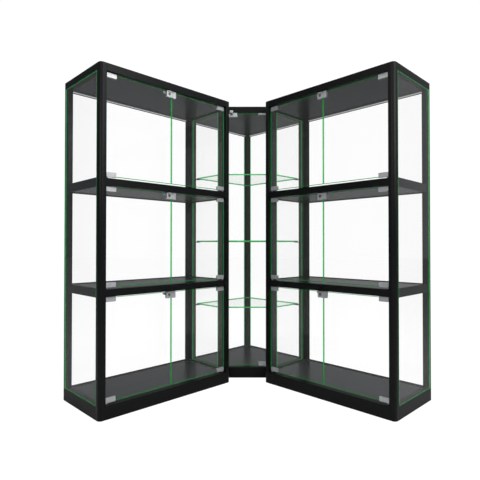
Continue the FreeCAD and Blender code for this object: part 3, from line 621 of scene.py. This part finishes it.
def make_corner_beads():
    """Beads of the corner cabinet's fixed panes; the two wall panes also have the pale strip of painted
    glint.
    """
    mesh = bmesh.new()
    panes = [box_of(corners) for corners in split_solids("corner_fixed_panes", TURNS["left"])]
    middle = sum((low + high for low, high in panes), Vector()) / (2 * len(panes))
    widest = max(high.x - low.x for low, high in panes)
    for low, high in panes:
        levels = (low.z, high.z)
        wall = max(high.x - low.x, high.y - low.y) > 0.9 * widest
        if high.x - low.x > high.y - low.y:
            deep = inner_face(low.y, high.y, middle.y)
            bead_frame(mesh, "x", (low.x, high.x), levels, deep, wall)
        else:
            deep = inner_face(low.x, high.x, middle.x)
            bead_frame(mesh, "y", (low.y, high.y), levels, deep, wall)
    name = "corner_glazing_beads"
    finish_piece(name, mesh, [RUBBER, PAINTED_GLINT_STRIP], TURNS["left"], FIXED)


def tier_span(leaf):
    """Clear height of a leaf's opening, from the sill it stands over to the rail above it."""
    low, high = turned_box(leaf + "_glass")
    return low.z - LEAF_FOOT_GAP, high.z + LEAF_HEAD_GAP


# --- fittings -------------------------------------------------------------------------------


def merge(mesh, other):
    """Takes another mesh in progress into this one."""
    data = bpy.data.meshes.new("part")
    other.to_mesh(data)
    other.free()
    mesh.from_mesh(data)
    bpy.data.meshes.remove(data)


def rounded_outline(low_across, low_up, high_across, high_up, radius, steps=5):
    """Outline of a rectangle with rounded corners."""
    corners = [(high_across - radius, high_up - radius, 0), (low_across + radius, high_up - radius, 90),
               (low_across + radius, low_up + radius, 180), (high_across - radius, low_up + radius, 270)]
    points = []
    for across, up, start in corners:
        for step in range(steps + 1):
            angle = math.radians(start + 90 * step / steps)
            points.append((across + radius * math.cos(angle), up + radius * math.sin(angle)))
    return points


def standing_plate(mesh, outline, holes, y_low, y_high, edge, slot=0):
    """Adds a plate of any outline that stands facing y."""
    plate = plate_from_outline("plate", outline, holes, y_high - y_low, edge)
    for face in plate.faces:
        face.material_index = slot
    stand_up(plate, "x", (y_low + y_high) / 2)
    merge(mesh, plate)


def make_clip(mesh, low, high, glass_low, glass_high, up):
    """Clip of two plates and a web over the glass edge, with its clamping screws inside."""
    outline = rounded_outline(low.x, low.z, high.x, high.z, CLIP_ROUND)
    standing_plate(mesh, outline, [], low.y, glass_low, 0.7)
    standing_plate(mesh, outline, [], glass_high, high.y, 0.7)
    web = (high.z - CLIP_WEB, high.z) if up else (low.z, low.z + CLIP_WEB)
    block(mesh, (low.x + 1, low.y + 1, web[0]), (high.x - 1, high.y - 1, web[1]), 0.6)
    level = (low.z + high.z) / 2 + (-CLIP_WEB / 2 if up else CLIP_WEB / 2)
    for share in (0.25, 0.75):
        spot = low.x + (high.x - low.x) * share
        socket = circle(spot, level, SCREW_SOCKET, 6)
        head = circle(spot, level, SCREW_HEAD, 24)
        standing_plate(mesh, head, [socket], high.y, high.y + SCREW_PROUD, 0.3, 1)
        disc(mesh, (spot, high.y, level), 2.2, 0.3, "y", 0.1, 16, 1)


def make_pin(mesh, low, high, hinge, collar):
    """Pivot pin on the leaf's hinge line; the foot pin has a collar that carries the leaf."""
    disc(mesh, (hinge.x, hinge.y, low.z), PIN_RADIUS, high.z - low.z, "z", 0.8, 24)
    if collar:
        radius = (high.x - low.x) / 2
        disc(mesh, (hinge.x, hinge.y, high.z - COLLAR), radius, COLLAR, "z", 0.5, 32)


def make_lock_case(mesh, low, high, glass_low, glass_high, plug, corner):
    """Case over the head of the leaf, bored for the plug, with the hood above the bore."""
    front = glass_low.y - CASE_PROUD
    top = glass_high.z + CASE_RISE
    bores = [circle(plug.x, plug.z, PLUG_RADIUS + 0.05)] if plug else []
    outline = rounded_outline(low.x, low.z, high.x, top, CASE_ROUND)
    standing_plate(mesh, outline, bores, front, glass_low.y, 0.9)
    standing_plate(mesh, outline, bores, glass_high.y, high.y, 0.6)
    web_low = (low.x + 1, front + 1.5, glass_high.z + 0.4)
    web_high = (high.x - 1, high.y - 0.6, top - 0.2)
    block(mesh, web_low, web_high, 0.8)
    if plug:
        make_hood(mesh, low, high, front, top, plug, corner)
        return
    spot = (low.x + KEEPER_SIDE, high.z - KEEPER_SCREW)
    head, socket = circle(*spot, 2.3, 24), circle(*spot, 1.2, 6)
    standing_plate(mesh, head, [socket], front - 0.5, front + 0.2, 0.2, 1)


def make_hood(mesh, low, high, front, top, plug, corner):
    """Finger hood over the plug; on the corner door its face stands up before the head rail."""
    left, right = plug.x - HOOD_LENGTH / 2, plug.x + HOOD_LENGTH / 2
    if corner:
        block(mesh, (left, low.y, top - HOOD_HEIGHT + 5), (right, front + 1, top), 2.0, 4)
        block(mesh, (left, low.y, top - 3), (right, low.y + 8, high.z), HOOD_ROUND, 4)
    else:
        level = plug.z + PLUG_RADIUS + 2
        block(mesh, (left, low.y, level), (right, front + 1, level + HOOD_HEIGHT), HOOD_ROUND, 4)


def make_fittings(base, lock):
    """Clips, pivot pins and the lock case or keeper of one leaf."""
    node = base + "_fittings"
    turn = turn_of(base)
    glass_low, glass_high = turned_box(base + "_glass")
    hinge = turned_point(base + "_hinge", base)
    plug = turned_point(lock + "_turn", base) if lock else None
    middle = (glass_low.z + glass_high.z) / 2
    mesh = bmesh.new()
    for corners in split_solids(node, turn):
        low, high = box_of(corners)
        up = low.z > middle
        if high.x - low.x < 12:
            make_pin(mesh, low, high, hinge, not up)
        elif abs(high.x - low.x - CLIP_LENGTH) < 1:
            make_clip(mesh, low, high, glass_low.y, glass_high.y, up)
        else:
            make_lock_case(mesh, low, high, glass_low, glass_high, plug, turn == 0)
    piece = finish_piece(base + "_metalwork", mesh, [SATIN, SCREW], turn, base)
    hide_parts(node)


def make_lock_cam(lock, base):
    """Plug with its key slot, and the cam behind the glass with its fixing nut."""
    turn = turn_of(base)
    plug = turned_point(lock + "_turn", base)
    solids = [box_of(corners) for corners in split_solids(lock, turn)]
    shell = max(solids, key=lambda pair: pair[1].y - pair[0].y)
    blade = min(solids, key=lambda pair: pair[1].y - pair[0].y)
    front, back = shell[0].y, shell[1].y
    mesh = bmesh.new()
    wide, tall = KEYWAY_WIDTH / 2, KEYWAY_HEIGHT / 2
    slot = rounded_outline(plug.x - wide, plug.z - tall, plug.x + wide, plug.z + tall, 0.6, 3)
    rim = circle(plug.x, plug.z, PLUG_RADIUS)
    standing_plate(mesh, rim, [slot], front, front + KEYWAY_DEPTH, 0.5)
    floor = front + KEYWAY_DEPTH - 0.4
    disc(mesh, (plug.x, floor, plug.z), PLUG_RADIUS - 0.1, back - floor, "y", 0.2, 40)
    leftwards = plug.x - blade[0].x > blade[1].x - plug.x
    lift = math.radians(180 - CAM_LIFT) if leftwards else 0
    half = CAM_WIDTH / 2
    outline = [(half * math.cos(step), half * math.sin(step)) for step in arc(270, 90)]
    tip, nose = CAM_REACH - CAM_TIP, half - CAM_TIP
    outline += [(tip, half), (CAM_REACH, nose), (CAM_REACH, -nose), (tip, -half)]
    swung = [(plug.x + across * math.cos(lift) - up * math.sin(lift),
              plug.z + across * math.sin(lift) + up * math.cos(lift)) for across, up in outline]
    standing_plate(mesh, swung, [], blade[0].y, blade[1].y, 0.4, 1)
    nut = circle(plug.x, plug.z, CAM_NUT, 6)
    standing_plate(mesh, nut, [], blade[1].y, blade[1].y + CAM_NUT_HEIGHT, 0.4, 2)
    piece = finish_piece(lock + "_metalwork", mesh, [PLUG, CAM, STEEL], turn, lock)
    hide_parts(lock)


def lathe(mesh, centre, profile, slot=0, sides=28):
    """Adds a turned shape; its profile is radius and height from the foot up."""
    rings = []
    for radius, height in profile:
        outline = circle(*centre, radius, sides)
        rings.append([mesh.verts.new((*spot, height)) for spot in outline])
    faces = [mesh.faces.new(rings[0][::-1]), mesh.faces.new(rings[-1])]
    for lower, upper in zip(rings, rings[1:]):
        for step in range(sides):
            after = (step + 1) % sides
            face = mesh.faces.new((lower[step], lower[after], upper[after], upper[step]))
            face.smooth = True
            faces.append(face)
    for face in faces:
        face.material_index = slot


def make_feet():
    """Levelling feet: rubber sole, moulded base, threaded stem with its lock nut and top plate."""
    node = "levelling_feet"
    mesh = bmesh.new()
    for corners in split_solids(node, 0):
        low, high = box_of(corners)
        spot = ((low.x + high.x) / 2, (low.y + high.y) / 2)
        wide = (high.x - low.x) / 2
        base, plate = low.z + FOOT_PAD, high.z - FOOT_PLATE
        sole = low.z + SOLE
        lathe(mesh, spot, [(wide - 1, low.z), (wide, low.z + 1), (wide, sole)], 1)
        dome = [(wide * math.cos(turn) * 0.72 + wide * 0.26, sole + (base - sole) * math.sin(turn))
                for turn in arc(0, 90, 6)]
        lathe(mesh, spot, [(wide - 0.4, sole), *dome], 2)
        count = int((plate - base) / THREAD)
        stem = [(STEM_RADIUS - THREAD_DEPTH * (step % 2), base + step * THREAD / 2)
                for step in range(2 * count)]
        lathe(mesh, spot, [*stem, (STEM_RADIUS - THREAD_DEPTH, plate)], 0, 20)
        for level in (base + 1, plate - NUT_HEIGHT - 1):
            nut = plate_from_outline("nut", circle(*spot, NUT_RADIUS, 6), [], NUT_HEIGHT, 0.5)
            bmesh.ops.translate(nut, verts=nut.verts, vec=(0, 0, level + NUT_HEIGHT / 2))
            merge(mesh, nut)
        top = TOP_PLATE_RADIUS
        rim = [(top - 0.6, plate), (top, plate + 0.6), (top, high.z - 0.4), (top - 0.4, high.z)]
        lathe(mesh, spot, rim)
    piece = finish_piece("levelling_feet_turned", mesh, [STEEL, RUBBER, CAP], 0, FIXED)
    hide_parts(node)


# --- stage, light and camera ----------------------------------------------------------------


def make_floor():
    """Plain pale floor that shows nearly white, with only soft contact shadows."""
    mesh = bmesh.new()
    bmesh.ops.create_grid(mesh, x_segments=8, y_segments=8, size=30)
    data = bpy.data.meshes.new("floor")
    mesh.to_mesh(data)
    mesh.free()
    floor = bpy.data.objects.new("floor", data)
    bpy.context.collection.objects.link(floor)
    floor.location.z = -FLOOR_DROP
    made, tree = new_material("pale_studio_floor")
    seen = add(tree, "LightPath").outputs["Is Camera Ray"]
    matt = add(tree, "BsdfDiffuse", {"Color": linear("#dadada")})
    lit = add(tree, "BsdfDiffuse", {"Color": linear("#4c4c4c")})
    glow = add(tree, "Emission", {"Color": linear("#ffffff"), "Strength": 1.0})
    both = add(tree, "AddShader", links={0: lit.outputs[0], 1: glow.outputs[0]})
    mixed = add(tree, "MixShader", links={0: seen, 1: matt.outputs[0], 2: both.outputs[0]})
    show(tree, mixed)
    data.materials.append(made)


def make_world():
    """White backdrop to the eye; what it lights sees a dimmer dome, brighter on the right."""
    world = bpy.data.worlds.new("studio")
    bpy.context.scene.world = world
    world.use_nodes = True
    tree = world.node_tree
    tree.nodes.clear()
    seen = add(tree, "LightPath").outputs["Is Camera Ray"]
    place = add(tree, "TexCoord").outputs["Generated"]
    sideways = add(tree, "SeparateXYZ", links={0: place}).outputs["X"]
    share = add(tree, "MapRange", {"From Min": -1.0, "From Max": 1.0}, {"Value": sideways})
    dome = ramp(tree, share.outputs[0], 0.05, 0.95, "#76787b", "#cfd0d2")
    dim = add(tree, "Background", {"Strength": 0.8}, {"Color": dome.outputs["Color"]})
    white = add(tree, "Background", {"Color": linear("#ffffff"), "Strength": 1.03})
    mixed = add(tree, "MixShader", links={0: seen, 1: dim.outputs[0], 2: white.outputs[0]})
    add(tree, "OutputWorld", links={"Surface": mixed.outputs[0]})


def make_light(name, place, aim, size, power):
    """Soft box that the camera doesn't see; sizes and places in metres, power in watts."""
    data = bpy.data.lights.new(name, "AREA")
    data.shape = "RECTANGLE"
    data.size, data.size_y = size
    data.energy = power
    lamp = bpy.data.objects.new(name, data)
    bpy.context.collection.objects.link(lamp)
    lamp.location = place
    lamp.rotation_euler = (Vector(aim) - Vector(place)).to_track_quat("-Z", "Y").to_euler()
    lamp.visible_camera = False


def make_camera():
    """Nearly level view from in front of the corner, its picture plane slid a little sideways."""
    data = bpy.data.cameras.new("camera")
    data.sensor_width = 36
    data.lens = LENS
    data.shift_x = LENS_SHIFT
    camera = bpy.data.objects.new("camera", data)
    bpy.context.collection.objects.link(camera)
    camera.location = (0, -CAMERA_AWAY, CAMERA_HEIGHT)
    camera.rotation_euler = (math.pi / 2 + CAMERA_TILT, 0, 0)
    bpy.context.scene.camera = camera


def dress_cad_nodes():
    """Gives every carried-over node its finish, and softens its corners.

    The top and plinth rings keep theirs crisp, because the bevel pushes some of their points
    outward, past the size of the set.
    """
    for name, node in NODES.items():
        node.data.materials.clear()
        node.data.materials.append(SLOT_LOOKS[SLOTS[name]])
        if name.endswith(("top_rails", "plinth_rails")):
            continue
        joined = node.modifiers.new("joined", "WELD")
        joined.merge_threshold = 0.01 * MM
        soft = node.modifiers.new("softened", "BEVEL")
        soft.width = (BOARD_BREAK if SLOTS[name] in FINE_SLOTS else FRAME_BREAK) * MM
        soft.segments = 2
        soft.limit_method = "ANGLE"
        soft.angle_limit = math.radians(40)
        soft.harden_normals = True


# --- the whole set --------------------------------------------------------------------------


make_camera()
make_world()
make_floor()
make_light("key", (2.2, -2.7, 3.3), (-0.3, 0.0, 1.5), (2.0, 2.0), 95)
make_light("fill", (-2.1, -3.5, 3.1), (0.3, 0.0, 1.5), (2.2, 2.2), 55)
make_light("top", (0, -0.6, 4.2), (0, 0, 1.0), (3.0, 3.0), 60)
dress_cad_nodes()

bpy.context.scene.view_settings.view_transform = "Standard"
bpy.context.scene.cycles.transparent_max_bounces = 40

for leaf in LEAVES:
    make_leaf_glass(leaf, LOCK_OF.get(leaf))
    make_fittings(leaf, LOCK_OF.get(leaf))
for leaf, lock in LOCK_OF.items():
    make_lock_cam(lock, leaf)
for side in ("left", "right"):
    make_fixed_panes(side)
    make_glazing_beads(side)
make_corner_panes()
make_corner_beads()
make_glass_shelves()
make_feet()
